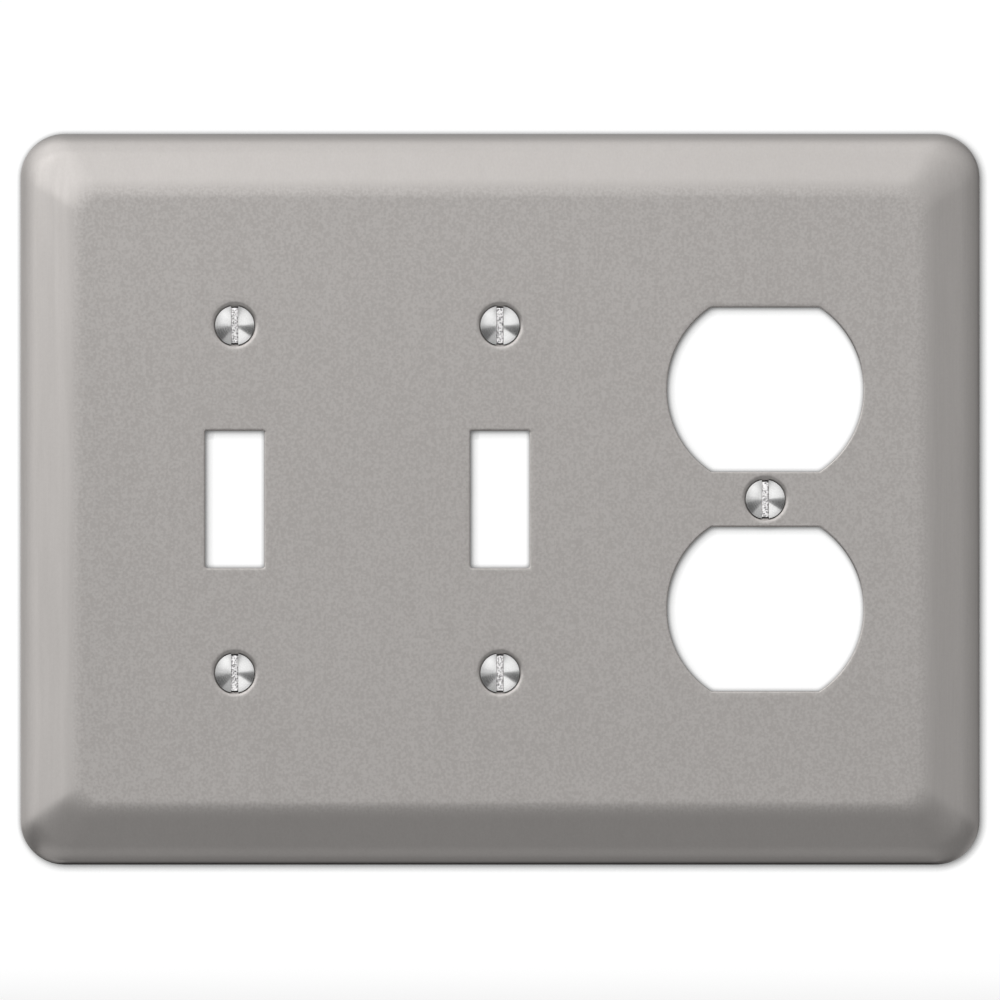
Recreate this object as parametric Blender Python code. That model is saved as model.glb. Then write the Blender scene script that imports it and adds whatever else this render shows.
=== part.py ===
"""Three-gang wall plate cover: one drawn steel plate and the five oval-head screws that hold it.

The plate is drawn lying on its back, face up along +Z. An empty at the middle of the plate's back
edge then stands it against a wall: the wall is the plane y = 0, the face looks along -Y, +X runs to
the right and +Z up. From the left, the first two gangs take toggle switches and the third a duplex
receptacle.
"""

import math

import bmesh
import bpy

MM = 0.001

# The gangs: the devices behind the plate stand at a standard pitch
GANG_PITCH = 46.04 * MM
TOGGLE_GANGS = (-1, 0)  # counted from the middle of the plate
DUPLEX_GANG = 1
TOGGLE_SCREW_SPACING = 60.33 * MM
TOGGLE_OPENING = (10.3 * MM, 23.8 * MM)
DUPLEX_DIAMETER = 34.1 * MM
DUPLEX_CUT = 2.8 * MM  # what each straight edge takes off the circle

# The plate
END_MARGIN = 37.31 * MM  # from the outer gangs' centre lines to the plate's ends
PLATE_HEIGHT = 127.0 * MM
PLATE_DEPTH = 7.15 * MM  # from the wall to the face
SHEET = 0.8 * MM
CORNER_RADIUS = 7.65 * MM
FACE_CORNER_RADIUS = 3.5 * MM
RIM_WALL = 0.5 * MM  # upright height at the edge
SHOULDER_RADIUS = 5.0 * MM
BEVEL_SLOPE = math.radians(18)
CREASE_RADIUS = 12.0 * MM
DIMPLE_BEND = 0.3 * MM  # inner radius of the bend round each screw dimple
DIMPLE_MARGIN = 0.449 * MM  # flat face between the middle dimple and the receptacle openings

# The screws: number 6 oval heads with a single slot
HEAD_DIAMETER = 6.8 * MM
HEAD_ANGLE = math.radians(82)
DOME_HEIGHT = 1.0 * MM
SLOT_WIDTH = 1.25 * MM
SLOT_DEPTH = 1.4 * MM  # from the top of the dome
THREAD_DIAMETER = 3.51 * MM
THREAD_CHAMFER = 0.5 * MM
SCREW_LENGTH = 12.7 * MM  # from the edge of the head to the tip
HEAD_SINK = 0.06 * MM  # the head's edge lies this far below the face

# Clearances
SEAT_GAP = 0.3 * MM  # square to the head's cone, between head and dimple
HOLE_GAP = 0.3 * MM  # round the thread, where it passes through the plate
CUT_MARGIN = 1.0 * MM  # how far a cutter runs past what it cuts

CORNER_STEPS = 8
SHOULDER_STEPS = 6
CREASE_STEPS = 4
DIMPLE_STEPS = 4
DUPLEX_STEPS = 16
DOME_STEPS = 5
ROUND_STEPS = 32
WELD = 0.001 * MM

PLATE_WIDTH = GANG_PITCH * (DUPLEX_GANG - TOGGLE_GANGS[0]) + 2 * END_MARGIN
HEAD_RADIUS = HEAD_DIAMETER / 2
THREAD_RADIUS = THREAD_DIAMETER / 2
HEAD_LEVEL = PLATE_DEPTH - HEAD_SINK
HALF_ANGLE = HEAD_ANGLE / 2

SCREW_PLACES = {
    "toggle_left_upper_screw": (TOGGLE_GANGS[0] * GANG_PITCH, TOGGLE_SCREW_SPACING / 2),
    "toggle_left_lower_screw": (TOGGLE_GANGS[0] * GANG_PITCH, -TOGGLE_SCREW_SPACING / 2),
    "toggle_middle_upper_screw": (TOGGLE_GANGS[1] * GANG_PITCH, TOGGLE_SCREW_SPACING / 2),
    "toggle_middle_lower_screw": (TOGGLE_GANGS[1] * GANG_PITCH, -TOGGLE_SCREW_SPACING / 2),
    "duplex_centre_screw": (DUPLEX_GANG * GANG_PITCH, 0.0),
}


def clear_scene():
    for item in list(bpy.data.objects):
        bpy.data.objects.remove(item, do_unlink=True)


def metal(name, colour, roughness):
    material = bpy.data.materials.new(name)
    material.use_nodes = True
    shader = material.node_tree.nodes["Principled BSDF"]
    shader.inputs["Base Color"].default_value = (*colour, 1.0)
    shader.inputs["Metallic"].default_value = 1.0
    shader.inputs["Roughness"].default_value = roughness
    return material


def mesh_of(name, solid, material=None):
    """The finished mesh of a bmesh: doubles merged, faces outwards, smooth between sharp edges."""
    bmesh.ops.remove_doubles(solid, verts=solid.verts, dist=WELD)
    bmesh.ops.recalc_face_normals(solid, faces=solid.faces)
    mesh = bpy.data.meshes.new(name)
    solid.to_mesh(mesh)
    solid.free()
    mesh.shade_smooth()
    mesh.set_sharp_from_angle(angle=math.radians(35))
    if material:
        mesh.materials.append(material)
    return mesh


def place(name, mesh, parent, location=(0, 0, 0)):
    item = bpy.data.objects.new(name, mesh)
    item.parent = parent
    item.location = location
    bpy.context.scene.collection.objects.link(item)
    return item


def helper(name, solid, parent):
    """A tool for a Boolean, which isn't part of the model."""
    item = place(name, mesh_of(name, solid), parent)
    item.hide_render = True
    item.display_type = "WIRE"
    return item


def combine(item, operation, tool):
    step = item.modifiers.new(tool.name, "BOOLEAN")
    step.operation = operation
    step.object = tool
    step.solver = "EXACT"


def arc(centre, radius, start, end, steps):
    """Points on a circle, from one angle to another, both ends included."""
    angles = [start + (end - start) * step / steps for step in range(steps + 1)]
    return [(centre[0] + radius * math.cos(a), centre[1] + radius * math.sin(a)) for a in angles]


def turn(solid, outline, centre=(0, 0), start=0.0):
    """Adds the solid of revolution of (radius, level) points about the upright line through centre,
    with the first of its flats beginning at the angle start."""
    across, up = math.cos(start), math.sin(start)
    corners = [
        solid.verts.new((centre[0] + radius * across, centre[1] + radius * up, level))
        for radius, level in outline
    ]
    edges = [solid.edges.new(pair) for pair in zip(corners, corners[1:])]
    bmesh.ops.spin(
        solid, geom=corners + edges, cent=(*centre, 0), axis=(0, 0, 1), angle=math.tau, steps=ROUND_STEPS
    )


def prism(solid, outline, bottom, top):
    """Adds an upright prism on a closed outline of (x, y) points."""
    base = solid.faces.new([solid.verts.new((x, y, bottom)) for x, y in outline])
    grown = bmesh.ops.extrude_face_region(solid, geom=[base])
    lifted = [part for part in grown["geom"] if isinstance(part, bmesh.types.BMVert)]
    bmesh.ops.translate(solid, verts=lifted, vec=(0, 0, top - bottom))


def box_outline(centre, size):
    half_width, half_height = size[0] / 2, size[1] / 2
    corners = ((-1, -1), (1, -1), (1, 1), (-1, 1))
    return [(centre[0] + a * half_width, centre[1] + b * half_height) for a, b in corners]


def round_rectangle(width, height, radius):
    """Points of a rectangle with round corners, anticlockwise from its right side."""
    points = []
    for quarter, (side_x, side_y) in enumerate(((1, 1), (-1, 1), (-1, -1), (1, -1))):
        centre = (side_x * (width / 2 - radius), side_y * (height / 2 - radius))
        start = quarter * math.pi / 2
        points += arc(centre, radius, start, start + math.pi / 2, CORNER_STEPS)
    return points


def border_profile():
    """(inset, level) points from the plate's back edge to its flat face: an upright rim, the shoulder's
    arc, the straight bevel, and the arc that meets the face. The border is as wide as the bevel needs,
    at its slope, to climb what the two arcs leave of the plate's depth. That comes to 11.2 mm."""
    bevel = math.pi / 2 + BEVEL_SLOPE
    shoulder = arc((SHOULDER_RADIUS, RIM_WALL), SHOULDER_RADIUS, math.pi, bevel, SHOULDER_STEPS)
    inset, level = shoulder[-1]
    climb = PLATE_DEPTH - CREASE_RADIUS * (1 - math.cos(BEVEL_SLOPE)) - level
    width = inset + climb / math.tan(BEVEL_SLOPE) + CREASE_RADIUS * math.sin(BEVEL_SLOPE)
    crease = arc((width, PLATE_DEPTH - CREASE_RADIUS), CREASE_RADIUS, bevel, math.pi / 2, CREASE_STEPS)
    return [(0.0, 0.0)] + shoulder + crease


def plate_shell():
    """The plate's outer surface: one round-cornered ring for each point of the border's profile, and
    the face inside the last. The corners tighten evenly from the edge to the face."""
    shell = bmesh.new()
    rings = []
    profile = border_profile()
    border_width = profile[-1][0]
    for inset, level in profile:
        share = inset / border_width
        radius = CORNER_RADIUS + (FACE_CORNER_RADIUS - CORNER_RADIUS) * share
        outline = round_rectangle(PLATE_WIDTH - 2 * inset, PLATE_HEIGHT - 2 * inset, radius)
        rings.append([shell.verts.new((x, y, level)) for x, y in outline])
    for lower, upper in zip(rings, rings[1:]):
        following = zip(lower[1:] + lower[:1], upper[1:] + upper[:1])
        for low, high, (next_low, next_high) in zip(lower, upper, following):
            shell.faces.new((low, next_low, next_high, high))
    shell.faces.new(rings[-1])
    return shell


def seat_radius(level):
    """Radius of a dimple's front cone at a level: the head's own cone, moved out by the seat's gap."""
    return HEAD_RADIUS + SEAT_GAP / math.cos(HALF_ANGLE) + (level - HEAD_LEVEL) * math.tan(HALF_ANGLE)


def dimple_profile(bend):
    """(radius, level) points round a dimple's edge, down one side of the sheet, from where it leaves
    the flat to where its cone begins. bend is that side's bend radius: the inner one at the back, and
    a sheet more at the front. Both sides bend about one centre."""
    front = DIMPLE_BEND + SHEET
    tilt = math.pi / 2 - HALF_ANGLE
    tangent_level = PLATE_DEPTH - front * (1 - math.cos(tilt))
    centre = (seat_radius(tangent_level) + front * math.sin(tilt), PLATE_DEPTH - front)
    return arc(centre, bend, math.pi / 2, math.pi / 2 + tilt, DIMPLE_STEPS)


def foot_level():
    """Level at which a dimple's front cone has come down to the radius of the hole."""
    return HEAD_LEVEL + (THREAD_RADIUS + HOLE_GAP - seat_radius(HEAD_LEVEL)) / math.tan(HALF_ANGLE)


def carried_up(points, level):
    """The points, with their first stretch carried on upwards to a level, so that it crosses the flat."""
    (x0, y0), (x1, y1) = points[:2]
    return [(x0 + (x0 - x1) * (level - y0) / (y0 - y1), level)] + points[1:]


def dimple_cups():
    """What each dimple adds at the back of the sheet, from inside the sheet to the cup's flat bottom."""
    cups = bmesh.new()
    bottom = foot_level() - SHEET * math.sin(HALF_ANGLE)
    middle = PLATE_DEPTH - SHEET / 2
    bent = carried_up(dimple_profile(DIMPLE_BEND), middle)
    last_radius, last_level = bent[-1]
    bottom_radius = last_radius - (last_level - bottom) * math.tan(HALF_ANGLE)
    for centre in SCREW_PLACES.values():
        turn(cups, [(0, middle)] + bent + [(bottom_radius, bottom), (0, bottom)], centre)
    return cups


def dimple_seats():
    """What each dimple takes away at the front: the round edge, the cone and the screw's hole. Its
    flats are half a step round from the cup's, so that no two edges run along each other."""
    seats = bmesh.new()
    top = PLATE_DEPTH + CUT_MARGIN
    hole_radius = THREAD_RADIUS + HOLE_GAP
    bent = carried_up(dimple_profile(DIMPLE_BEND + SHEET), top)
    hole = [(hole_radius, foot_level()), (hole_radius, 0), (0, 0)]
    for centre in SCREW_PLACES.values():
        turn(seats, [(0, top)] + bent + hole, centre, start=math.pi / ROUND_STEPS)
    return seats


def duplex_offset():
    """From the middle screw to the centre of each receptacle opening, which leaves the dimple's edge
    its margin. That comes to 19.05 mm, half the standard spacing of a receptacle's two faces."""
    dimple_radius = dimple_profile(DIMPLE_BEND + SHEET)[0][0]
    return dimple_radius + DIMPLE_MARGIN + DUPLEX_DIAMETER / 2 - DUPLEX_CUT


def duplex_outline(centre):
    """A circle whose top and bottom are cut off straight."""
    reach = math.asin(1 - 2 * DUPLEX_CUT / DUPLEX_DIAMETER)
    right = arc(centre, DUPLEX_DIAMETER / 2, -reach, reach, DUPLEX_STEPS)
    left = arc(centre, DUPLEX_DIAMETER / 2, math.pi - reach, math.pi + reach, DUPLEX_STEPS)
    return right + left


def device_openings():
    """The holes that the two switches' toggles and the receptacle's two faces stand in."""
    outlines = [box_outline((gang * GANG_PITCH, 0), TOGGLE_OPENING) for gang in TOGGLE_GANGS]
    for side in (-1, 1):
        outlines.append(duplex_outline((DUPLEX_GANG * GANG_PITCH, side * duplex_offset())))
    openings = bmesh.new()
    for outline in outlines:
        prism(openings, outline, 0, PLATE_DEPTH + CUT_MARGIN)
    return openings


def make_plate(parent):
    finish = metal("brushed_nickel_plate", (0.42, 0.405, 0.39), 0.42)
    plate = place("cover_plate", mesh_of("cover_plate", plate_shell(), finish), parent)
    sheet = plate.modifiers.new("sheet", "SOLIDIFY")
    sheet.thickness = SHEET
    sheet.offset = -1
    sheet.use_even_offset = True
    sheet.use_quality_normals = True
    combine(plate, "UNION", helper("dimple_cups", dimple_cups(), parent))
    combine(plate, "DIFFERENCE", helper("dimple_seats", dimple_seats(), parent))
    combine(plate, "DIFFERENCE", helper("device_openings", device_openings(), parent))


def screw_blank():
    """A screw without its slot, its head's edge at level 0: a domed top, the head's cone, and the
    shank at the thread's full diameter with a chamfered tip."""
    dome_radius = (HEAD_RADIUS**2 + DOME_HEIGHT**2) / (2 * DOME_HEIGHT)
    dome_edge = math.acos(HEAD_RADIUS / dome_radius)
    dome = arc((0, DOME_HEIGHT - dome_radius), dome_radius, math.pi / 2, dome_edge, DOME_STEPS)
    cone_depth = (HEAD_RADIUS - THREAD_RADIUS) / math.tan(HALF_ANGLE)
    shank = [
        (THREAD_RADIUS, -cone_depth),
        (THREAD_RADIUS, THREAD_CHAMFER - SCREW_LENGTH),
        (THREAD_RADIUS - THREAD_CHAMFER, -SCREW_LENGTH),
        (0, -SCREW_LENGTH),
    ]
    blank = bmesh.new()
    turn(blank, [(0, DOME_HEIGHT)] + dome[1:] + shank)
    return blank


def screw_slots():
    """One upright slot across each head."""
    slots = bmesh.new()
    top = HEAD_LEVEL + DOME_HEIGHT
    size = (SLOT_WIDTH, HEAD_DIAMETER + 2 * CUT_MARGIN)
    for centre in SCREW_PLACES.values():
        prism(slots, box_outline(centre, size), top - SLOT_DEPTH, top + CUT_MARGIN)
    return slots


def make_screws(parent):
    finish = metal("nickel_screw", (0.72, 0.70, 0.68), 0.25)
    blank = mesh_of("oval_head_screw", screw_blank(), finish)
    slots = helper("screw_slots", screw_slots(), parent)
    for name, (x, y) in SCREW_PLACES.items():
        combine(place(name, blank, parent, (x, y, HEAD_LEVEL)), "DIFFERENCE", slots)


def main():
    clear_scene()
    wall = bpy.data.objects.new("wall_plate", None)
    wall.rotation_euler = (math.pi / 2, 0, 0)
    bpy.context.scene.collection.objects.link(wall)
    make_plate(wall)
    make_screws(wall)


main()
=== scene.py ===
import math

import bmesh
import bpy
import numpy as np
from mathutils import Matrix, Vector


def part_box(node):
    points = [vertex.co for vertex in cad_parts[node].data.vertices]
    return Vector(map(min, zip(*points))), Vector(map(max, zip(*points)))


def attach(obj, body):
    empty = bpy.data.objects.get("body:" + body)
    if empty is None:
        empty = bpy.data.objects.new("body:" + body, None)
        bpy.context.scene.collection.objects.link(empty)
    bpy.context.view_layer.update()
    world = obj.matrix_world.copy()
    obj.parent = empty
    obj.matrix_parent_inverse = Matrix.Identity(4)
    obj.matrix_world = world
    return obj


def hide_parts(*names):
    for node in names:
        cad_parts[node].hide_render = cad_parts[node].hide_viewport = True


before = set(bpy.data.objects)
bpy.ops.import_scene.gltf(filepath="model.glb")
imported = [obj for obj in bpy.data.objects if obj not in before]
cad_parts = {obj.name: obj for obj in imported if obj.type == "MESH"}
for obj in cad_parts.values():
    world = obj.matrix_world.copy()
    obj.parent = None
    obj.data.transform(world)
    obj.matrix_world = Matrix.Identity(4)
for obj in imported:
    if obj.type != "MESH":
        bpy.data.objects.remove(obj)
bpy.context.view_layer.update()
mm = 0.001


# Even steps from start to end, each about as long as step, both ends included
def spread(start, end, step):
    return np.linspace(start, end, max(1, round(abs(end - start) / step)) + 1)


def directions(angles):
    return np.stack([np.cos(angles), np.sin(angles)], axis=-1)


# An arc of a profile: centre + radius * (cos, sin) of the angle, as (across, level) points
def arc(centre, radius, start, end, steps):
    return np.array(centre) + radius * directions(np.linspace(start, end, steps + 1))


# Quads between neighbouring rings of a stack shaped (rings, points, 3). A closed ring's last point
# joins its first. The numbers count from firstVertex
def quadsOf(rings, points, closed, firstVertex):
    acrossCount = points if closed else points - 1
    row, column = np.meshgrid(np.arange(rings - 1), np.arange(acrossCount), indexing="ij")
    after = (column + 1) % points
    corners = np.stack([row * points + column, row * points + after,
                        (row + 1) * points + after, (row + 1) * points + column], axis=-1)
    return corners.reshape(-1, 4) + firstVertex


# Joins stacks of rings into one mesh. Each patch is (points, closed, material index, uv), where the
# index is one number or one for each step between rings, and uv is either None or one (u, v) for each
# corner of each quad. Edges that turn by more than sharp, in degrees, stay crisp
def meshOf(name, patches, materials, weld=1e-7, sharp=38):
    vertices, quads, slots, uvs, count = [], [], [], [], 0
    for points, closed, slot, uv in patches:
        rings, across = points.shape[:2]
        quad = quadsOf(rings, across, closed, count)
        vertices.append(points.reshape(-1, 3))
        quads.append(quad)
        slots.append(np.broadcast_to(slot, (len(quad),)) if np.ndim(slot) == 0
                     else np.repeat(np.asarray(slot), len(quad) // (rings - 1)))
        uvs.append(np.zeros((len(quad), 4, 2)) if uv is None else uv)
        count += rings * across
    mesh = bpy.data.meshes.new(name)
    mesh.from_pydata(np.concatenate(vertices).tolist(), [], np.concatenate(quads).tolist())
    mesh.polygons.foreach_set("material_index", np.concatenate(slots).astype(np.int32))
    layer = mesh.uv_layers.new(name="grain")
    layer.data.foreach_set("uv", np.concatenate(uvs).reshape(-1).astype(np.float32))
    shape = bmesh.new()
    shape.from_mesh(mesh)
    bmesh.ops.remove_doubles(shape, verts=shape.verts, dist=weld)
    bmesh.ops.dissolve_degenerate(shape, edges=shape.edges, dist=weld)
    bmesh.ops.recalc_face_normals(shape, faces=shape.faces)
    openEdges = sum(not edge.is_manifold for edge in shape.edges)
    shape.to_mesh(mesh)
    shape.free()
    mesh.shade_smooth()
    mesh.set_sharp_from_angle(angle=math.radians(sharp))
    for material in materials:
        mesh.materials.append(material)
    print(name, len(mesh.polygons), "faces,", openEdges, "open edges")
    return mesh


def addPiece(name, mesh, body, node):
    piece = bpy.data.objects.new(name, mesh)
    bpy.context.scene.collection.objects.link(piece)
    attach(piece, body)
    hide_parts(node)
    return piece


class Nodes:
    def __init__(self, tree):
        self.tree = tree
        tree.nodes.clear()

    def add(self, kind, inputs=None, **settings):
        node = self.tree.nodes.new(kind)
        for key, value in settings.items():
            setattr(node, key, value)
        for key, value in (inputs or {}).items():
            if isinstance(value, bpy.types.NodeSocket):
                self.tree.links.new(value, node.inputs[key])
            else:
                node.inputs[key].default_value = value
        return node

    def math(self, operation, a, b=0.0, clamp=False):
        return self.add("ShaderNodeMath", {0: a, 1: b}, operation=operation, use_clamp=clamp).outputs[0]

    def noise(self, vector, scale, detail=2.0, roughness=0.5):
        node = self.add("ShaderNodeTexNoise", {"Vector": vector, "Scale": scale, "Detail": detail,
                                               "Roughness": roughness})
        return node.outputs["Fac"]

    # Object coordinates stretched along each axis, so that one noise draws lines or specks
    def stretched(self, source, scale):
        return self.add("ShaderNodeMapping", {"Vector": source, "Scale": scale}).outputs[0]

    def mapRange(self, value, fromMin, fromMax, toMin, toMax, kind="LINEAR"):
        node = self.add("ShaderNodeMapRange", {"Value": value, "From Min": fromMin, "From Max": fromMax,
                                               "To Min": toMin, "To Max": toMax}, interpolation_type=kind)
        return node.outputs["Result"]

    def blendColour(self, share, first, second, kind="MIX"):
        node = self.add("ShaderNodeMix", data_type="RGBA", blend_type=kind)
        for key, value in ((0, share), (6, first), (7, second)):
            if isinstance(value, bpy.types.NodeSocket):
                self.tree.links.new(value, node.inputs[key])
            else:
                node.inputs[key].default_value = value
        return node.outputs[2]

    # How nearly one direction points along another: 1 when it does, 0 when square to it
    def along(self, way, direction):
        node = self.add("ShaderNodeVectorMath", {0: way, 1: direction}, operation="DOT_PRODUCT")
        return node.outputs["Value"]

    # (share of the first) * first + (share of the second) * second
    def mixed(self, firstShare, first, secondShare, second):
        return self.math("ADD", self.math("MULTIPLY", first, firstShare),
                         self.math("MULTIPLY", second, secondShare))

    # A curve through (value, height) stops, for values from -1 to 1
    def curve(self, value, stops):
        node = self.add("ShaderNodeFloatCurve", {"Value": self.mapRange(value, -1, 1, 0, 1)})
        points = node.mapping.curves[0].points
        for place, height in stops[1:-1]:
            points.new(place / 2 + 0.5, height)
        for point, (place, height) in ((points[0], stops[0]), (points[len(points) - 1], stops[-1])):
            point.location = (place / 2 + 0.5, height)
        node.mapping.use_clip = False
        node.mapping.update()
        return node.outputs[0]


def newMaterial(name):
    material = bpy.data.materials.new(name)
    material.use_nodes = True
    return material, Nodes(material.node_tree)


camera = {
    "lens": 800, "sensor": 36,  # a long lens, far off
    "viewWidth": 173.74 * mm, "drop": 0.12 * mm,
    "focusLevel": 2.6 * mm,  # viewWidth is measured this far in front of the wall
    "farthest": 20,
}


def makeCamera():
    data = bpy.data.cameras.new("camera")
    data.lens, data.sensor_width = camera["lens"], camera["sensor"]
    data.clip_end = camera["farthest"]
    eye = bpy.data.objects.new("camera", data)
    distance = camera["viewWidth"] * camera["lens"] / camera["sensor"]
    eye.location = (0, -distance - camera["focusLevel"], -camera["drop"])
    eye.rotation_euler = (math.pi / 2, 0, 0)
    bpy.context.scene.collection.objects.link(eye)
    bpy.context.scene.camera = eye
    bpy.context.scene.view_settings.view_transform = "Standard"
    print("camera", round(distance, 3), "m away")


plateFinish = {
    "colour": (0.620, 0.592, 0.572, 1), "darkColour": (0.548, 0.520, 0.501, 1),
    "backColour": (0.66, 0.64, 0.62, 1), "backDark": (0.58, 0.56, 0.54, 1),
    "roughness": 0.40, "roughnessSpread": 0.04, "anisotropy": 0.80,
    "lineScale": (4400, 4400, 100),  # lines about 0.2 mm wide and 10 mm tall
    "softLineScale": (900, 900, 45), "speckScale": 2300, "cloudScale": 28,
    "speckTone": 2.4, "lineTone": 0.55, "cloudTone": 0.18,  # how much each one tints the metal
    "toneRange": (0.09, 0.64),
    "bendSpecks": 0.14, "bendDepth": 0.25 * mm,  # specks fade to this share over this depth of the bend
    "bump": 0.20, "bumpHeight": 0.03 * mm,
    "backGrainScale": 900, "stainScale": 40, "backRoughness": (0.50, 0.64),
    "backBump": 0.25, "backBumpHeight": 0.04 * mm,
}


def brushedNickel():
    material, n = newMaterial("brushedNickel")
    place = n.add("ShaderNodeTexCoord").outputs["Object"]
    lines = n.noise(n.stretched(place, plateFinish["lineScale"]), 1.0, 3.0, 0.6)
    softLines = n.noise(n.stretched(place, plateFinish["softLineScale"]), 1.0, 2.0)
    depth = n.add("ShaderNodeSeparateXYZ", {0: place}).outputs["Y"]
    flat = n.mapRange(depth, -plate["depth"] + plateFinish["bendDepth"], -plate["depth"],
                      plateFinish["bendSpecks"], 1.0)
    specks = n.math("SUBTRACT", n.noise(place, plateFinish["speckScale"], 1.5, 0.45), 0.5)
    specks = n.math("MULTIPLY", specks, flat)
    clouds = n.noise(place, plateFinish["cloudScale"], 3.0, 0.55)
    tone = n.mixed(plateFinish["speckTone"], specks, plateFinish["lineTone"], lines)
    tone = n.math("ADD", tone, n.math("MULTIPLY", clouds, plateFinish["cloudTone"]))
    share = n.mapRange(tone, *plateFinish["toneRange"], 0.0, 1.0)
    colour = n.blendColour(share, plateFinish["darkColour"], plateFinish["colour"])
    middle, spread = plateFinish["roughness"], plateFinish["roughnessSpread"]
    roughness = n.mapRange(n.mixed(0.5, lines, 0.5, softLines), 0.3, 0.7, middle - spread, middle + spread)
    height = n.mixed(0.7, lines, 0.3, specks)
    bump = n.add("ShaderNodeBump", {"Height": height, "Strength": plateFinish["bump"],
                                    "Distance": plateFinish["bumpHeight"]})
    tangent = n.add("ShaderNodeTangent", direction_type="UV_MAP", uv_map="grain")
    shader = n.add("ShaderNodeBsdfPrincipled", {
        "Base Color": colour, "Metallic": 1.0, "Roughness": roughness,
        "Anisotropic": plateFinish["anisotropy"], "Normal": bump.outputs[0], "Tangent": tangent.outputs[0]})
    n.add("ShaderNodeOutputMaterial", {"Surface": shader.outputs[0]})
    return material


# The back is dull and unbrushed, with faint stains
def plainNickel():
    material, n = newMaterial("plainNickelBack")
    place = n.add("ShaderNodeTexCoord").outputs["Object"]
    grain = n.noise(place, plateFinish["backGrainScale"], 4.0, 0.6)
    stains = n.noise(place, plateFinish["stainScale"], 4.0, 0.6)
    share = n.mapRange(stains, 0.3, 0.7, 0, 1)
    colour = n.blendColour(share, plateFinish["backDark"], plateFinish["backColour"])
    roughness = n.mapRange(grain, 0.3, 0.7, *plateFinish["backRoughness"])
    bump = n.add("ShaderNodeBump", {"Height": grain, "Strength": plateFinish["backBump"],
                                    "Distance": plateFinish["backBumpHeight"]})
    shader = n.add("ShaderNodeBsdfPrincipled", {
        "Base Color": colour, "Metallic": 1.0, "Roughness": roughness, "Normal": bump.outputs[0]})
    n.add("ShaderNodeOutputMaterial", {"Surface": shader.outputs[0]})
    return material


screwFinish = {
    "darkRing": (0.36, 0.359, 0.357, 1), "paleRing": (0.47, 0.468, 0.465, 1),
    "ringScale": (3.0, 16.0, 1.0),  # long round the axis, narrow along the radius
    "pitScale": 2600, "roughness": (0.22, 0.29), "anisotropy": 0.95, "bump": 0.12, "bumpHeight": 0.03 * mm,
    "darkChip": (0.20, 0.197, 0.20, 1), "paleChip": (0.78, 0.768, 0.768, 1),
    "chipScale": 3200, "fleckScale": 2900, "chipRange": (0.40, 0.56),
    "slotRoughness": 0.38, "slotBump": 0.9, "slotBumpHeight": 0.16 * mm,
}


def turnedNickel():
    material, n = newMaterial("turnedNickel")
    around = n.add("ShaderNodeUVMap", uv_map="grain").outputs[0]
    rings = n.noise(n.stretched(around, screwFinish["ringScale"]), 1.0, 3.0, 0.6)
    place = n.add("ShaderNodeTexCoord").outputs["Object"]
    pits = n.noise(place, screwFinish["pitScale"], 3.0, 0.6)
    share = n.mapRange(rings, 0.3, 0.7, 0, 1)
    colour = n.blendColour(share, screwFinish["darkRing"], screwFinish["paleRing"])
    roughness = n.mapRange(rings, 0.3, 0.7, *screwFinish["roughness"])
    height = n.mixed(0.7, rings, 0.3, pits)
    bump = n.add("ShaderNodeBump", {"Height": height, "Strength": screwFinish["bump"],
                                    "Distance": screwFinish["bumpHeight"]})
    tangent = n.add("ShaderNodeTangent", direction_type="UV_MAP", uv_map="grain")
    shader = n.add("ShaderNodeBsdfPrincipled", {
        "Base Color": colour, "Metallic": 1.0, "Roughness": roughness,
        "Anisotropic": screwFinish["anisotropy"], "Anisotropic Rotation": 0.25,
        "Normal": bump.outputs[0], "Tangent": tangent.outputs[0]})
    n.add("ShaderNodeOutputMaterial", {"Surface": shader.outputs[0]})
    return material


# The saw leaves the slot torn and glittering
def slotNickel():
    material, n = newMaterial("sawnSlotNickel")
    place = n.add("ShaderNodeTexCoord").outputs["Object"]
    chips = n.add("ShaderNodeTexVoronoi", {"Vector": place, "Scale": screwFinish["chipScale"]},
                  feature="F1")
    flecks = n.noise(place, screwFinish["fleckScale"], 3.0, 0.7)
    torn = n.mixed(0.6, flecks, 0.4, chips.outputs["Distance"])
    share = n.mapRange(torn, *screwFinish["chipRange"], 0, 1)
    colour = n.blendColour(share, screwFinish["darkChip"], screwFinish["paleChip"])
    bump = n.add("ShaderNodeBump", {"Height": flecks, "Strength": screwFinish["slotBump"],
                                    "Distance": screwFinish["slotBumpHeight"]})
    shader = n.add("ShaderNodeBsdfPrincipled", {
        "Base Color": colour, "Metallic": 1.0, "Roughness": screwFinish["slotRoughness"],
        "Normal": bump.outputs[0]})
    n.add("ShaderNodeOutputMaterial", {"Surface": shader.outputs[0]})
    return material


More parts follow.
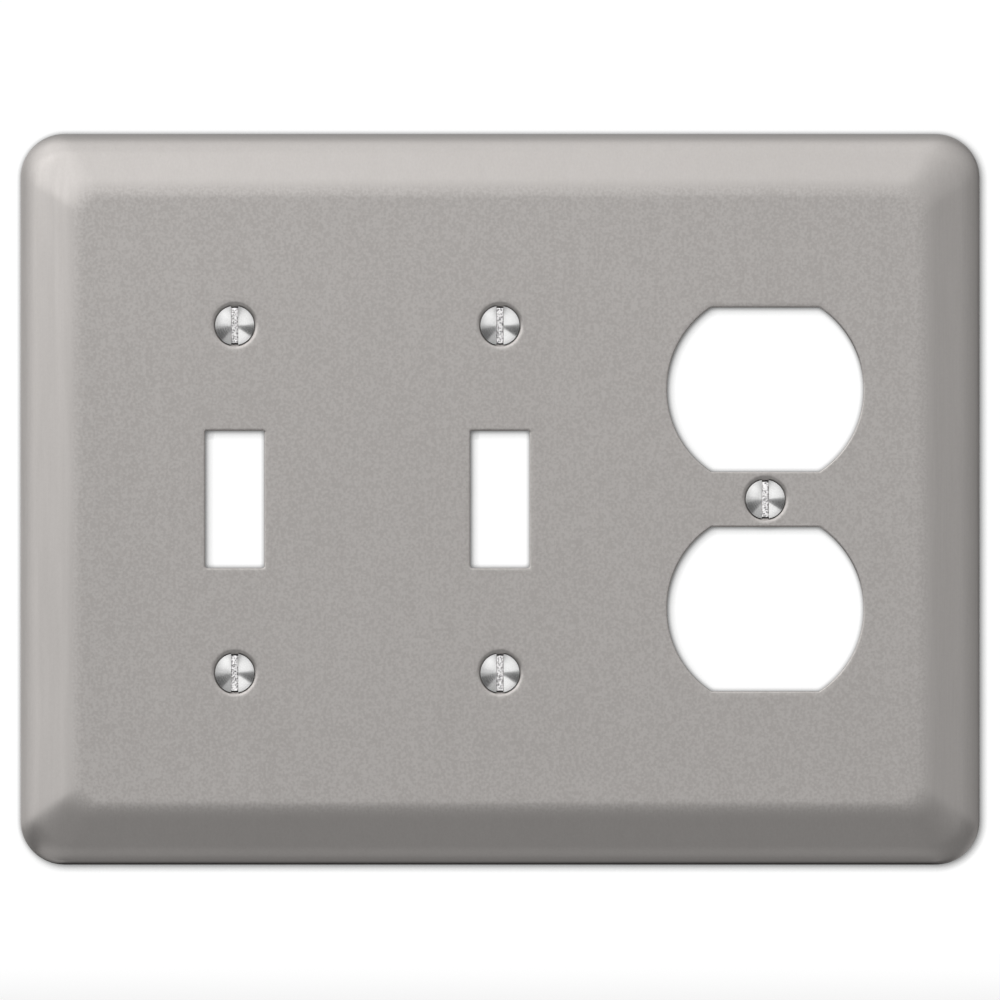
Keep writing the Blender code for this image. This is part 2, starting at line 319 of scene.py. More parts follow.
plateLow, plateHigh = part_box("cover_plate")
plate = {
    "halfWidth": plateHigh.x, "halfHeight": plateHigh.z, "depth": -plateLow.y, "sheet": 0.8 * mm,
    "cornerRadius": 7.65 * mm, "faceCornerRadius": 3.5 * mm,
    "rimWall": 0.5 * mm, "shoulderRadius": 5.0 * mm, "bevelSlope": math.radians(18),
    "creaseRadius": 12.0 * mm,
    "edgeRound": 0.12 * mm,  # the sheared edge's slight rounding
    "faceReach": (70 * mm, 50 * mm),  # the middle of the face, which the openings' cells divide
    "gridStep": 1.0 * mm, "cornerSteps": 8,
    "toggle": (10.3 * mm, 23.8 * mm), "duplexDiameter": 34.1 * mm, "duplexCut": 2.8 * mm,
    "duplexOffset": 19.05 * mm, "openingCorner": 0.35 * mm,
    "stampRound": 0.3 * mm, "burrRound": 0.06 * mm,
    "dimpleBend": 0.42 * mm, "holeGap": 0.3 * mm, "seatGap": 0.19 * mm,
    "lipRound": 0.1 * mm, "holeChamfer": 0.05 * mm, "cupRound": 0.08 * mm,
    "webMargin": 0.1 * mm,  # from a dimple's bend to the edge of the middle dimple's cell
    "switchTop": 18 * mm,  # where a toggle opening's cell meets its screws' cells
}

screwNames = ["toggle_left_upper_screw", "toggle_left_lower_screw", "toggle_middle_upper_screw",
              "toggle_middle_lower_screw", "duplex_centre_screw"]
screwCentres = {}
for screwName in screwNames:
    low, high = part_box(screwName)
    screwCentres[screwName] = ((low.x + high.x) / 2, (low.z + high.z) / 2)
leftGang, middleGang, rightGang = (screwCentres[name][0] for name in screwNames[::2])
screwRise = screwCentres[screwNames[0]][1]

screw = {
    "headRadius": 3.4 * mm, "halfAngle": math.radians(41), "dome": 1.0 * mm, "headSink": 0.06 * mm,
    "slotWidth": 1.25 * mm, "slotDepth": 1.4 * mm, "slotDraft": 0.12 * mm, "length": 12.7 * mm,
    "majorRadius": 1.755 * mm, "threadDepth": 0.42 * mm, "pitch": 0.794 * mm, "tipChamfer": 0.5 * mm,
    "crestSlope": 2.6, "rootWidth": 0.15,  # the thread's steepness, and how flat its root is
    "edgeRound": 0.07 * mm,
    "sideSteps": 26, "acrossSteps": 16, "slotSteps": 6, "pitchSteps": 9,
}


# Outline of an opening as (points, outward normals), anticlockwise from its lower left corner. Each
# run is (first centre, last centre, radius, first angle, last angle, steps): a point is its centre
# plus radius times the direction of its angle, so a straight run keeps its angle while its centre
# slides, an arc keeps its centre while the angle turns, and an offset only adds to the radius
def outlineOf(runs):
    points, normals = [], []
    for first, last, radius, start, end, steps in runs:
        share = np.arange(steps)[:, None] / steps
        normal = directions(start + (end - start) * share[:, 0])
        points.append(np.array(first) * (1 - share) + np.array(last) * share + radius * normal)
        normals.append(normal)
    return np.concatenate(points), np.concatenate(normals)


# The four sides in turn, each a half corner, the side's own run and a half corner. corner is the
# centre of the upper right rounding, lean the angle at which an upright side meets it, and bulge the
# radius of that side about the opening's middle, or None for a straight one
def fourSides(corner, rounding, lean, bulge, counts, cornerSteps):
    x, z = corner
    quarter = math.pi / 2
    turn = (quarter + lean) / 2  # the middle of the rounding
    right = [((x, -z), (x, -z), rounding, -turn, -lean, cornerSteps)]
    middle = counts[1] - 2 * cornerSteps
    if bulge:
        right.append(((0, 0), (0, 0), bulge, -lean, lean, middle))
    else:
        right.append(((x, -z), (x, z), rounding, 0.0, 0.0, middle))
    right.append(((x, z), (x, z), rounding, lean, turn, cornerSteps))
    top = [((x, z), (x, z), rounding, turn, quarter, cornerSteps),
           ((x, z), (-x, z), rounding, quarter, quarter, counts[0] - 2 * cornerSteps),
           ((-x, z), (-x, z), rounding, quarter, math.pi - turn, cornerSteps)]

    def halfTurn(runs):
        return [((-first[0], -first[1]), (-last[0], -last[1]), radius, start + math.pi,
                 end + math.pi, steps) for first, last, radius, start, end, steps in runs]

    return outlineOf(halfTurn(top) + right + top + halfTurn(right))


def rectangleOutline(size, rounding, counts, cornerSteps):
    corner = (size[0] / 2 - rounding, size[1] / 2 - rounding)
    return fourSides(corner, rounding, 0.0, None, counts, cornerSteps)


# A circle with its top and bottom cut off straight. The rounding's centre lies where it touches both
# the straight edge and the circle from inside
def duplexOutline(counts):
    bulge, rounding = plate["duplexDiameter"] / 2, plate["openingCorner"]
    z = bulge - plate["duplexCut"] - rounding
    x = math.sqrt((bulge - rounding) ** 2 - z * z)
    return fourSides((x, z), rounding, math.atan2(z, x), bulge, counts, plate["cornerSteps"])


# A circle with its points evenly round it, starting where the cell's lower left corner is
def circleOutline(counts):
    total = 2 * (counts[0] + counts[1])
    start = math.pi + math.pi * counts[1] / total
    return outlineOf([((0, 0), (0, 0), 0.0, start, start + math.tau, total)])


# (across, level) points down an opening's edge: the rounded front edge, the wall, the burr's rounding
def openingProfile():
    roll, burr = plate["stampRound"], plate["burrRound"]
    front, back = plate["depth"], plate["depth"] - plate["sheet"]
    return np.concatenate([
        arc((roll, front - roll), roll, math.pi / 2, math.pi, 7),
        arc((burr, back + burr), burr, math.pi, math.pi * 1.5, 3)]), 9


# (radius, level) points through a screw's dimple: the front bend, the cone that the head sits in, the
# hole, the cup's bottom, its outer cone and the bend at the back. Both bends share one centre
def dimpleProfile():
    tangent = math.tan(screw["halfAngle"])
    front, back = plate["depth"], plate["dimpleBend"]
    outer = back + plate["sheet"]
    tilt = math.pi / 2 - screw["halfAngle"]
    headLevel = front - screw["headSink"]
    clearance = plate["seatGap"] / math.cos(screw["halfAngle"])
    chamfer, lipRound, cupRound = plate["holeChamfer"], plate["lipRound"], plate["cupRound"]

    def seatRadius(level):
        return screw["headRadius"] + clearance + (level - headLevel) * tangent

    tangentLevel = front - outer * (1 - math.cos(tilt))
    centre = (seatRadius(tangentLevel) + outer * math.sin(tilt), front - outer)
    hole = screw["majorRadius"] + plate["holeGap"]
    foot = headLevel + (hole - seatRadius(headLevel)) / tangent
    bottom = foot - plate["sheet"] * math.sin(screw["halfAngle"])
    frontBend = arc(centre, outer, math.pi / 2, math.pi / 2 + tilt, 10)
    backBend = arc(centre, back, math.pi / 2 + tilt, math.pi / 2, 4)
    lastRadius, lastLevel = backBend[0]
    cone = np.linspace(frontBend[-1], (hole + chamfer, foot + chamfer / tangent), 6)[1:]
    lip = arc((hole + lipRound, foot - 0.06 * mm), lipRound, math.pi * 0.75, math.pi, 3)[1:]
    cupRadius = lastRadius - (lastLevel - bottom) * tangent
    cup = np.array([(hole, bottom + chamfer), (hole + chamfer, bottom), (cupRadius - cupRound, bottom),
                    (cupRadius + 0.03 * mm, bottom + cupRound)])
    return np.concatenate([frontBend, cone, lip, cup, backBend]), len(frontBend) + len(cone) + len(lip)


# Ring in the face's plane at a level above the wall: points become (x, -level, z)
def raised(points, level):
    level = np.broadcast_to(level, points.shape[:-1])
    return np.stack([points[..., 0], -level, points[..., 1]], axis=-1)


# Rings between two, closer together towards the second, neither end included
def between(first, second, steps, crowding=1.6):
    share = 1 - (1 - np.arange(1, steps) / steps) ** crowding
    return first + (second - first) * share[:, None, None]


# Border's profile: the shoulder's arc, the bevel and the crease's arc, as (inset, level) points with
# their outward normals. The bevel is as long as it needs to be to climb what the arcs leave of the depth
def borderProfile(arcSteps=16, bevelSteps=7):
    slope, shoulder, crease = plate["bevelSlope"], plate["shoulderRadius"], plate["creaseRadius"]
    bevel = math.pi / 2 + slope
    low = arc((shoulder, plate["rimWall"]), shoulder, math.pi, bevel, arcSteps)
    climb = plate["depth"] - crease * (1 - math.cos(slope)) - low[-1][1]
    width = low[-1][0] + climb / math.tan(slope) + crease * math.sin(slope)
    high = arc((width, plate["depth"] - crease), crease, bevel, math.pi / 2, arcSteps)
    straight = np.linspace(low[-1], high[0], bevelSteps + 1)[1:-1]
    points = np.concatenate([low, straight, high])
    angles = np.concatenate([np.linspace(math.pi, bevel, arcSteps + 1), np.full(bevelSteps - 1, bevel),
                             np.linspace(bevel, math.pi / 2, arcSteps + 1)])
    return points, directions(angles), width


def borderPatch(xMarks, zMarks):
    counts = (len(xMarks) - 1, len(zMarks) - 1)
    points, normals, width = borderProfile()
    sheet, small = plate["sheet"], plate["edgeRound"]
    tightening = plate["faceCornerRadius"] - plate["cornerRadius"]
    radii = plate["cornerRadius"] + tightening * points[:, 0] / width
    inner = points - sheet * normals
    innerRadii = radii - (inner[:, 0] - points[:, 0])
    edge = np.concatenate([arc((sheet - small, small), small, 0, -math.pi / 2, 3),
                           arc((small, small), small, -math.pi / 2, -math.pi, 3)])
    profile = np.concatenate([points[::-1], edge[::-1], inner])
    rounding = np.concatenate([radii[::-1], plate["cornerRadius"] - edge[::-1, 0], innerRadii])

    # One round-cornered ring for each point of the profile. The corners tighten from edge to face
    def ring(inset, level, radius):
        size = (2 * (plate["halfWidth"] - inset), 2 * (plate["halfHeight"] - inset))
        return raised(rectangleOutline(size, radius, counts, plate["cornerSteps"])[0], level)

    rings = np.stack([ring(*values) for values in zip(profile[:, 0], profile[:, 1], rounding)])
    front = raised(cellRing(xMarks, zMarks), plate["depth"])
    back = raised(cellRing(xMarks, zMarks), plate["depth"] - sheet)
    start, end = between(front, rings[0], 3), between(rings[-1], back, 3)
    patch = np.concatenate([front[None], start, rings, end, back[None]])
    slots = np.zeros(len(patch) - 1, int)
    slots[1 + len(start) + len(points) + len(edge) - 1:] = 1
    return patch, slots


# The rectangle of a cell, anticlockwise from its lower left corner, on the marks of its sides
def cellRing(xMarks, zMarks):
    def row(x, z):
        return np.stack(np.broadcast_arrays(x, z), axis=-1)
    return np.concatenate([row(xMarks[:-1], zMarks[0]), row(xMarks[-1], zMarks[:-1]),
                           row(xMarks[:0:-1], zMarks[-1]), row(xMarks[0], zMarks[:0:-1])])


# One cell of the face with its opening: the front rectangle, the opening's rings and the back one
def cellPatch(xMarks, zMarks, centre, outline, profile, frontRings):
    points, normals = outline
    rings = raised(points + np.array(centre) + profile[:, None, :1] * normals, profile[:, 1:])
    front = raised(cellRing(xMarks, zMarks), plate["depth"])
    back = raised(cellRing(xMarks, zMarks), plate["depth"] - plate["sheet"])
    start, end = between(front, rings[0], 7), between(back, rings[-1], 7)[::-1]
    patch = np.concatenate([front[None], start, rings, end, back[None]])
    slots = np.zeros(len(patch) - 1, int)
    slots[1 + len(start) + frontRings:] = 1
    return patch, slots


# The grain's map, in metres: u runs across the brushing and v along it. A little of the depth is
# added to both, so that upright walls aren't a line in it
def grainMap(patch):
    rings, points = patch.shape[:2]
    flat = patch.reshape(-1, 3)
    u, v = flat[:, 0] + 0.37 * flat[:, 1], flat[:, 2] + 0.59 * flat[:, 1]
    return np.stack([u, v], axis=-1)[quadsOf(rings, points, True, 0)]


def makePlate():
    reach, step = plate["faceReach"], plate["gridStep"]
    xBreaks = (-reach[0], (leftGang + middleGang) / 2, (middleGang + rightGang) / 2, reach[0])
    dimple, dimpleFront = dimpleProfile()
    stamped, stampedFront = openingProfile()
    web = dimple[0, 0] + plate["webMargin"]
    switchTop = plate["switchTop"]
    zBreaks = (-reach[1], -switchTop, -web, web, switchTop, reach[1])

    def marksOf(breaks):
        return np.concatenate([spread(a, b, step)[:-1] for a, b in zip(breaks, breaks[1:])] + [breaks[-1:]])

    def part(marks, low, high):
        return marks[(marks >= low - 1e-9) & (marks <= high + 1e-9)]

    xMarks, zMarks = marksOf(xBreaks), marksOf(zBreaks)

    patches = [borderPatch(xMarks, zMarks)]
    switchRows = ((-reach[1], -switchTop, -screwRise, "dimple"), (-switchTop, switchTop, 0, "toggle"),
                  (switchTop, reach[1], screwRise, "dimple"))
    duplexRows = ((-reach[1], -web, -plate["duplexOffset"], "duplex"), (-web, web, 0, "dimple"),
                  (web, reach[1], plate["duplexOffset"], "duplex"))
    for gang, left, right, rows in ((leftGang, xBreaks[0], xBreaks[1], switchRows),
                                    (middleGang, xBreaks[1], xBreaks[2], switchRows),
                                    (rightGang, xBreaks[2], xBreaks[3], duplexRows)):
        for bottom, top, z, kind in rows:
            x, y = part(xMarks, left, right), part(zMarks, bottom, top)
            counts = (len(x) - 1, len(y) - 1)
            if kind == "dimple":
                patches.append(cellPatch(x, y, (gang, z), circleOutline(counts), dimple, dimpleFront))
                continue
            if kind == "toggle":
                outline = rectangleOutline(plate["toggle"], plate["openingCorner"], counts, 6)
            else:
                outline = duplexOutline(counts)
            patches.append(cellPatch(x, y, (gang, z), outline, stamped, stampedFront))
    mesh = meshOf("coverPlate", [(patch, True, slots, grainMap(patch)) for patch, slots in patches],
                  [brushedNickel(), plainNickel()])
    return addPiece("coverPlate", mesh, "plate", "cover_plate")


# Level of the head's top above the head's edge: the dome, R less the distance to the dome's centre,
# and near the edge a small round that runs off upright
def headTop(radius):
    head, rise, small = screw["headRadius"], screw["dome"], screw["edgeRound"]
    domeRadius = (head ** 2 + rise ** 2) / (2 * rise)
    dome = rise - domeRadius + np.sqrt(domeRadius ** 2 - np.minimum(radius, head) ** 2)
    start = head - small
    startLevel = rise - domeRadius + math.sqrt(domeRadius ** 2 - start ** 2)
    across = np.clip((radius - start) / small, 0, 1)
    runOff = startLevel * np.sqrt(np.clip(1 - across ** 2, 0, 1))
    return np.where(radius > start, np.minimum(dome, runOff), dome)


# One screw about its own axis: x and z across, level out along the head. Patches are grids:
# the dome's two halves, the slot's walls and floor, the head's cone beside and below the slot, the
# thread and the tip
def screwPatches():
    head, half, slotFloor = screw["headRadius"], screw["slotWidth"] / 2, screw["dome"] - screw["slotDepth"]
    tangent = math.tan(screw["halfAngle"])
    side = np.linspace(-1, 1, screw["sideSteps"] + 1)
    cross = np.linspace(-1, 1, screw["slotSteps"] + 1)
    patches = []

    # angle of the slot's corner at a radius, up from the level line
    def reach(radius):
        return math.pi / 2 - np.arcsin(half / radius)

    def polarMap(points, closed=False):
        rings, count = points.shape[:2]
        flat = points.reshape(-1, 3)
        angle = np.arctan2(flat[:, 1], flat[:, 0]) / math.tau
        distance = (np.hypot(flat[:, 0], flat[:, 1]) - flat[:, 2]) / mm
        uv = np.stack([angle, distance], axis=-1)[quadsOf(rings, count, closed, 0)]
        jump = uv[..., 0].max(axis=1, keepdims=True) - uv[..., 0]
        uv[..., 0] += np.where(jump > 0.5, 1.0, 0.0)  # quads across the seam
        return uv

    # dome: from the slot's edge to the head's edge along rows that end at even angles
    ease = np.sin(np.linspace(0, math.pi / 2, screw["acrossSteps"] + 1))
    angle = side * reach(head)
    z = head * np.sin(angle)[:, None]
    x = half + (head * np.cos(angle)[:, None] - half) * ease[None, :]
    z = np.broadcast_to(z, x.shape)
    level = headTop(np.minimum(np.hypot(x, z), head))
    for sign in (1, -1):
        dome = np.stack([sign * x, z, level], axis=-1)
        patches.append((dome, False, 0, polarMap(dome)))

    # slot walls: the dome's edge line down to the head's edge level, then in along the cone
    topZ = head * np.sin(angle)
    topLevel = headTop(np.minimum(np.hypot(half, topZ), head))
    floorRadius = head + slotFloor * tangent
    down = np.linspace(0, 1, 5)[:, None]
    levels = slotFloor * down
    radius = head + levels * tangent
    lean = half - screw["slotDraft"] * down
    coneAngle = side * (math.pi / 2 - np.arcsin(lean / radius))
    upper = (np.full((5, len(side)), half), np.broadcast_to(topZ, (5, len(side))), topLevel * (1 - down))
    lower = (np.broadcast_to(lean, coneAngle.shape), radius * np.sin(coneAngle),
             np.broadcast_to(levels, coneAngle.shape))
    for sign in (1, -1):
        for wallX, wallZ, wallLevel in (upper, lower):
            wall = np.stack([sign * wallX, wallZ, wallLevel], axis=-1)
            patches.append((wall, False, 1, None))

    # slot floor, whose ends follow the cone's circle
    floorX = lean[-1, 0] * cross
    endZ = np.sqrt(floorRadius ** 2 - floorX ** 2)
    floorZ = lower[1][-1]
    share = (floorZ / floorZ[-1])[:, None]
    floor = np.stack([np.broadcast_to(floorX, (len(side), len(cross))), share * endZ,
                      np.full((len(side), len(cross)), slotFloor)], axis=-1)
    patches.append((floor, False, 1, None))

    # cone beside the slot
    for sign in (1, -1):
        cone = np.stack([sign * radius * np.cos(coneAngle), radius * np.sin(coneAngle),
                         np.broadcast_to(levels, coneAngle.shape)], axis=-1)
        patches.append((cone, False, 0, polarMap(cone)))

    # the ring at the floor's level, once round: right side, top end, left side, bottom end
    right = np.stack([floorRadius * np.cos(coneAngle[-1]), floorZ], axis=-1)
    end = np.stack([floorX[::-1], endZ], axis=-1)
    ring = np.concatenate([right[:-1], end[:-1], -right[:-1], -end[:-1]])
    around = np.arctan2(ring[:, 1], ring[:, 0])

    # cone below the slot, then the thread: the radius falls from the crest by the thread's depth in a
    # sharp-sided wave that climbs one pitch for each turn, fading in under the head and out at the tip
    neck = -(head - screw["majorRadius"]) / tangent
    coneLevels = np.linspace(slotFloor, neck, 9)
    tip = -screw["length"]
    turns = (neck - tip) / screw["pitch"]
    threadLevels = np.linspace(neck, tip, int(turns * screw["pitchSteps"]) + 1)[1:]
    phase = (threadLevels[:, None] / screw["pitch"] + around[None, :] / math.tau) % 1.0
    wave = np.clip(np.abs(phase - 0.5) * screw["crestSlope"] - screw["rootWidth"], 0, 1)  # 1 at the crest
    fadeIn = np.clip((neck - threadLevels) / screw["pitch"] - 0.4, 0, 1)[:, None]
    thread = screw["majorRadius"] - screw["threadDepth"] * (1 - wave) * fadeIn
    chamfer = screw["majorRadius"] - screw["tipChamfer"] + (threadLevels - tip)[:, None]
    thread = np.minimum(thread, chamfer)
    coneRadii = np.broadcast_to((head + coneLevels * tangent)[:, None], (9, len(ring)))
    radii = np.concatenate([coneRadii, thread])
    allLevels = np.concatenate([coneLevels, threadLevels])
    body = np.stack([radii * np.cos(around), radii * np.sin(around),
                     np.broadcast_to(allLevels[:, None], radii.shape)], axis=-1)
    patches.append((body, True, 0, polarMap(body, True)))

    # flat tip, drawn in to its middle
    share = np.array([1.0, 0.66, 0.33, 0.0])[:, None]
    flatTip = np.stack([radii[-1] * np.cos(around) * share, radii[-1] * np.sin(around) * share,
                        np.full((4, len(ring)), tip)], axis=-1)
    patches.append((flatTip, True, 0, polarMap(flatTip, True)))
    return patches


def makeScrews():
    materials = [turnedNickel(), slotNickel()]
    headLevel = plate["depth"] - screw["headSink"]
    patches = screwPatches()
    pieces = []
    for name, (x, z) in screwCentres.items():
        placed = []
        for points, closed, slot, uv in patches:
            across, up, out = points[..., 0] + x, points[..., 1] + z, points[..., 2] + headLevel
            placed.append((np.stack([across, -out, up], axis=-1), closed, slot, uv))
        words = name.split("_")
        pieceName = words[0] + "".join(word.capitalize() for word in words[1:])
        pieces.append(addPiece(pieceName, meshOf(pieceName, placed, materials), name, name))
    return pieces


stageSizes = {
    "outerMargin": 4 * mm, "outerGap": 0.25 * mm,  # the shade sheet round the plate's foot
    "innerInset": 2 * mm, "innerLevel": 6.2 * mm,  # the one behind the openings
    "castReach": 1.7 * mm, "castLean": (-0.5, -0.75, 0.43), "castRange": (0.35, 0.93), "castDarkest": 0.28,
    "closeReach": 0.8 * mm, "closeRange": (0.5, 0.97), "closeDarkest": 0.57, "shadeSamples": 12,
    "floorSize": 8, "floorDrop": 115 * mm, "floorFade": (0.3, 1.8), "white": 1.02,
    "floorDark": (0.88, 0.88, 0.88, 1), "floorPale": (0.90, 0.90, 0.90, 1),
}


# A clear sheet that only dims what is behind it, close to the metal. One part of the shade falls to
# the lower right of the metal, the other hugs it all round. Seen from behind it does nothing
def contactShade():
    material, n = newMaterial("contactShade")
    lean = n.add("ShaderNodeCombineXYZ", dict(enumerate(stageSizes["castLean"]))).outputs[0]
    samples = stageSizes["shadeSamples"]
    cast = n.add("ShaderNodeAmbientOcclusion", {"Distance": stageSizes["castReach"], "Normal": lean},
                 samples=samples)
    close = n.add("ShaderNodeAmbientOcclusion", {"Distance": stageSizes["closeReach"]}, samples=samples)
    castShade = n.mapRange(cast.outputs["AO"], *stageSizes["castRange"], stageSizes["castDarkest"], 1.0)
    closeShade = n.mapRange(close.outputs["AO"], *stageSizes["closeRange"], stageSizes["closeDarkest"], 1.0)
    shade = n.math("MULTIPLY", castShade, closeShade)
    fromBehind = n.add("ShaderNodeNewGeometry").outputs["Backfacing"]
    shade = n.math("MAXIMUM", shade, fromBehind, clamp=True)
    veil = n.add("ShaderNodeBsdfTransparent", {"Color": shade})
    n.add("ShaderNodeOutputMaterial", {"Surface": veil.outputs[0]})
    return material


# Pale near the plate and glowing white far off, so that it has no visible end
def paleFloor():
    material, n = newMaterial("paleFloor")
    place = n.add("ShaderNodeTexCoord").outputs["Object"]
    tint = n.mapRange(n.noise(place, 160.0, 3.0), 0.3, 0.7, 0.0, 1.0)
    colour = n.blendColour(tint, stageSizes["floorDark"], stageSizes["floorPale"])
    shader = n.add("ShaderNodeBsdfPrincipled", {"Base Color": colour, "Roughness": 0.9})
    away = n.add("ShaderNodeVectorMath", {0: place}, operation="LENGTH").outputs["Value"]
    far = n.mapRange(away, *stageSizes["floorFade"], 0.0, 1.0, "SMOOTHSTEP")
    glow = n.add("ShaderNodeEmission", {"Color": (1, 1, 1, 1), "Strength": stageSizes["white"]})
    mix = n.add("ShaderNodeMixShader", {0: far, 1: shader.outputs[0], 2: glow.outputs[0]})
    n.add("ShaderNodeOutputMaterial", {"Surface": mix.outputs[0]})
    return material


# A flat object of four-cornered sheets, one for every four points
def addSheets(name, points, material):
    mesh = bpy.data.meshes.new(name)
    faces = np.arange(len(points)).reshape(-1, 4)
    mesh.from_pydata(points.tolist(), [], faces.tolist())
    mesh.materials.append(material)
    sheets = bpy.data.objects.new(name, mesh)
    bpy.context.scene.collection.objects.link(sheets)
    return sheets


def makeStage():
    corners = np.array([(-1, -1), (1, -1), (1, 1), (-1, 1)], float)
    inside = np.array(plate["faceReach"]) - stageSizes["innerInset"]
    outside = np.array([plate["halfWidth"], plate["halfHeight"]]) + stageSizes["outerMargin"]
    outer = raised(corners * outside, -stageSizes["outerGap"])
    inner = raised(corners * inside, stageSizes["innerLevel"])
    # Two clear sheets, one round the plate's foot and one behind the openings, that paint shadow onto
    # whatever is seen through them
    paintedShadeSheets = addSheets("paintedShadeSheets", np.concatenate([outer, inner]), contactShade())
    for ray in ("diffuse", "glossy", "transmission", "volume_scatter", "shadow"):
        setattr(paintedShadeSheets, "visible_" + ray, False)

    level = np.full((4, 1), -stageSizes["floorDrop"])
    floor = addSheets("floor", np.hstack([corners * stageSizes["floorSize"] / 2, level]), paleFloor())
    floor.visible_glossy = False
    floor.visible_shadow = False
    print("backdrop and floor made")


# The room as the metal sees it. Each curve is (part of the direction from -1 to 1, brightness)
studio = {
    "strength": 1.785,
    "upDown": [(-1, 0.345), (-0.8, 0.34), (-0.60, 0.31), (-0.42, 0.345), (-0.28, 0.395), (-0.15, 0.50),
               (-0.06, 0.59), (0.0, 0.665), (0.2, 0.605), (0.35, 0.65), (0.5, 0.735), (0.7, 0.755),
               (1, 0.76)],
    "across": [(-1, 0.65), (-0.9, 0.72), (-0.75, 0.86), (-0.5, 1.0), (-0.15, 0.82), (0.05, 0.62),
               (0.3, 0.46), (0.6, 0.43), (1, 0.38)],
    # from the front of the room to behind the plate: above and to the left, then below and to the right
    "behindBright": [(-1, 1.0), (-0.1, 1.0), (0.24, 0.72), (0.5, 0.59), (0.77, 0.50), (1, 0.47)],
    "behindDark": [(-1, 1.0), (-0.1, 1.0), (0.24, 0.74), (0.5, 0.69), (0.64, 0.46), (0.76, 0.12),
                   (0.88, 0.02), (1, 0.01)],
    "sideBlend": 0.15,
    # by the angle round the plate, in half turns from straight right
    "gaps": [(-1, 1.0), (-0.96, 1.0), (-0.93, 0.45), (-0.75, 0.45), (-0.72, 0.86), (-0.5, 0.92),
             (-0.16, 1.0), (-0.13, 0.78), (-0.04, 0.78), (0.0, 1.0), (1, 1.0)],
    "fillFrom": (0.60, 0.68, -0.42), "fillWidth": 0.90, "fill": 0.50,
    "cornerFrom": (-0.42, -0.81, 0.42), "cornerWidth": 0.95, "cornerShade": 0.30,
}


# Soft studio round the plate: bright above and to the left, darker below and to the right, with a
# faint fill from behind and a shaded patch up to the left. The camera sees plain white
def makeLight():
    world = bpy.data.worlds.new("studio")
    world.use_nodes = True
    bpy.context.scene.world = world
    n = Nodes(world.node_tree)
    way = n.add("ShaderNodeTexCoord").outputs["Generated"]
    split = n.add("ShaderNodeSeparateXYZ", {0: way})
    x, y, z = split.outputs["X"], split.outputs["Y"], split.outputs["Z"]
    frontLight = n.math("MULTIPLY", n.curve(z, studio["upDown"]), n.curve(x, studio["across"]))
    side = n.mapRange(n.math("SUBTRACT", z, x), -studio["sideBlend"], studio["sideBlend"], 0.0, 1.0)
    behind = n.mixed(side, n.curve(y, studio["behindBright"]),
                     n.math("SUBTRACT", 1.0, side), n.curve(y, studio["behindDark"]))
    turn = n.math("DIVIDE", n.math("ARCTAN2", z, x), math.pi)
    strength = n.math("MULTIPLY", frontLight, n.math("MULTIPLY", behind, n.curve(turn, studio["gaps"])))
    fill = n.mapRange(n.along(way, studio["fillFrom"]), studio["fillWidth"], 1.0,
                      0.0, studio["fill"], "SMOOTHSTEP")
    strength = n.math("ADD", n.math("MULTIPLY", strength, studio["strength"]), fill)
    corner = n.mapRange(n.along(way, studio["cornerFrom"]), studio["cornerWidth"], 1.0,
                        0.0, studio["cornerShade"], "SMOOTHSTEP")
    strength = n.math("SUBTRACT", strength, corner)
    room = n.add("ShaderNodeBackground", {"Color": (1, 1, 1, 1), "Strength": strength})
    white = n.add("ShaderNodeBackground", {"Color": (1, 1, 1, 1), "Strength": stageSizes["white"]})
    seen = n.add("ShaderNodeLightPath").outputs["Is Camera Ray"]
    mix = n.add("ShaderNodeMixShader", {0: seen, 1: room.outputs[0], 2: white.outputs[0]})
    n.add("ShaderNodeOutputWorld", {"Surface": mix.outputs[0]})
    print("studio light made")


softBox = {"place": (-0.30, -0.42, 0.24), "size": (0.30, 0.34), "watts": 0.26}


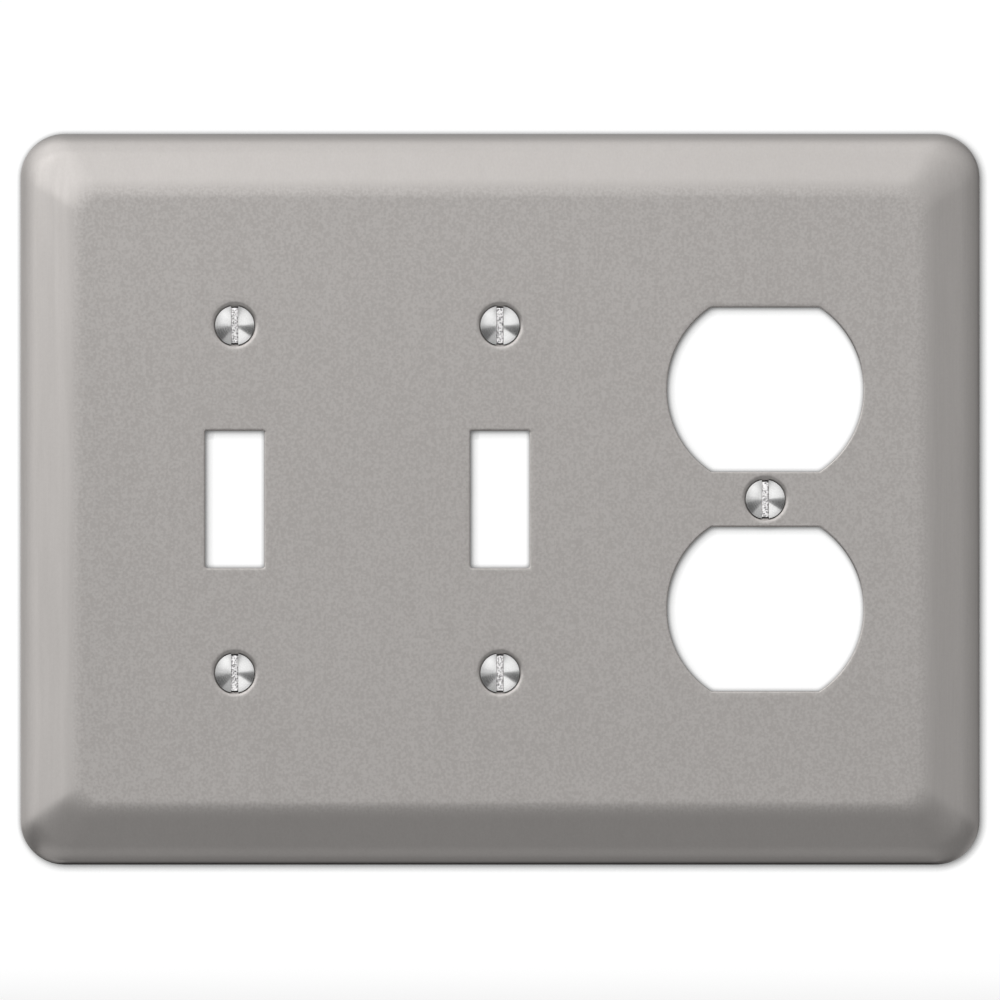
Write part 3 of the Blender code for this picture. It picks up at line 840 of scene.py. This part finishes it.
# A box of light above the plate's left side. It stands near, so the border brightens towards it
def makeSoftBox():
    data = bpy.data.lights.new("softBox", "AREA")
    data.shape, data.size, data.size_y = "RECTANGLE", softBox["size"][0], softBox["size"][1]
    data.energy = softBox["watts"]
    box = bpy.data.objects.new("softBox", data)
    box.location = softBox["place"]
    box.rotation_euler = (-Vector(softBox["place"])).to_track_quat("-Z", "Y").to_euler()
    box.visible_camera = False
    bpy.context.scene.collection.objects.link(box)
    print("soft box made")


screwScreen = {
    "radius": 3.3, "distance": 1.5,
    # (angle in half turns from straight right, brightness): right to top to left is 0 to 1
    "wedges": [(-1, 0.0), (-0.74, 0.0), (-0.715, 0.42), (-0.51, 0.42), (-0.49, 1.55), (-0.20, 1.55),
               (-0.17, 0.0), (0.0, 0.0), (0.06, 1.4), (0.34, 1.15), (0.43, 0.20), (0.60, 0.05),
               (0.64, 0.40), (0.97, 0.42), (1, 0.10)],
}


# A wide round screen in front that lights the screws alone: bright above and at the lower right, with
# dark gaps between, which a turned head shows as wedges
def makeScrewScreen(screws):
    data = bpy.data.lights.new("screwScreen", "AREA")
    data.shape, data.size = "DISK", 2 * screwScreen["radius"]
    data.energy = 4 * math.pi * screwScreen["radius"] ** 2
    data.use_nodes = True
    n = Nodes(data.node_tree)
    split = n.add("ShaderNodeSeparateXYZ", {0: n.add("ShaderNodeNewGeometry").outputs["Position"]})
    turn = n.math("DIVIDE", n.math("ARCTAN2", split.outputs["Z"], split.outputs["X"]), math.pi)
    wedges = n.curve(turn, screwScreen["wedges"])
    glow = n.add("ShaderNodeEmission", {"Color": (1, 1, 1, 1), "Strength": wedges})
    n.add("ShaderNodeOutputLight", {"Surface": glow.outputs[0]})
    screen = bpy.data.objects.new("screwScreen", data)
    screen.location = (0, -screwScreen["distance"], 0)
    screen.rotation_euler = (math.pi / 2, 0, 0)
    screen.visible_camera = False
    bpy.context.scene.collection.objects.link(screen)
    receivers = bpy.data.collections.new("screwScreenReceivers")
    for piece in screws:
        receivers.objects.link(piece)
    screen.light_linking.receiver_collection = receivers
    print("screw screen made")


makeCamera()
makePlate()
screws = makeScrews()
makeStage()
makeLight()
makeSoftBox()
makeScrewScreen(screws)
